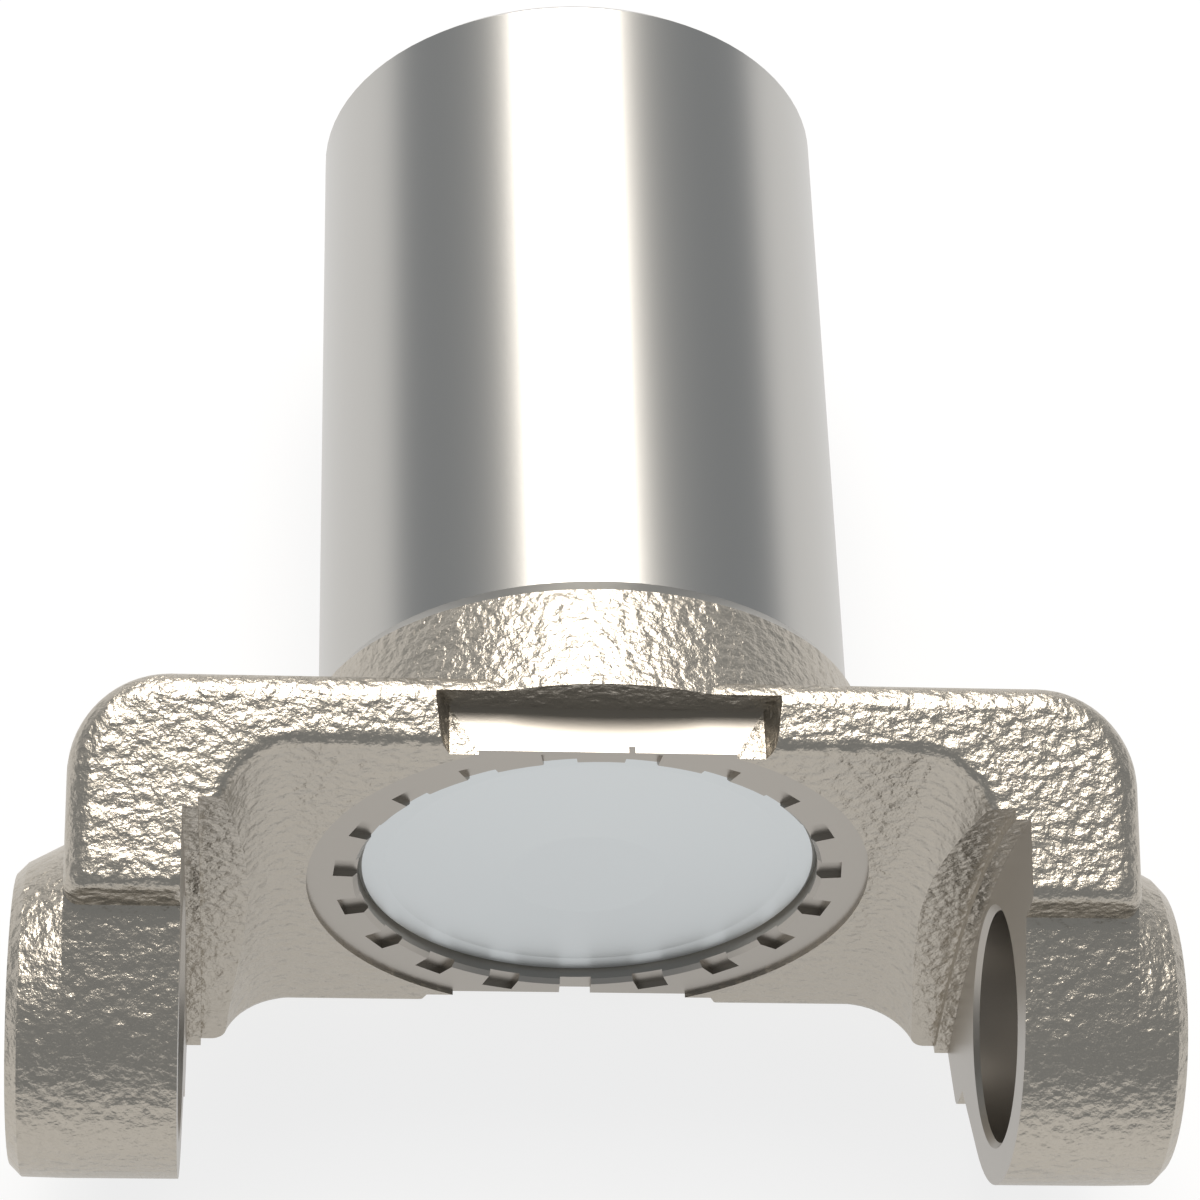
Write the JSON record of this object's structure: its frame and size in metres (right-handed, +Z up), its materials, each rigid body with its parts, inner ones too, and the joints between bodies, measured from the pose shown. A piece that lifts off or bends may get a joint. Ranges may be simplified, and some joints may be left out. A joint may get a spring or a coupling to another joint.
{
  "type": "driveshaft slip yoke",
  "caption": "Forged slip yoke with a ground, internally splined barrel, two bored ears for a joint cross and a pressed-in plug.",
  "frame": {"origin": "where the axis of the cross bores meets the axis of the barrel", "axes": "+X along the cross bores, +Y along the barrel to its open splined end, +Z up with the part lying on its side"},
  "size_m": [0.0992, 0.1091, 0.0532],
  "materials": {
    "forged_steel": "as-forged skin, ground barrel, milled ear faces",
    "zinc_plated_sheet": "satin zinc plate"
  },
  "bodies": {
    "root": {"yoke_forging": "forged_steel", "welch_plug": "zinc_plated_sheet"}
  },
  "joints": []
}
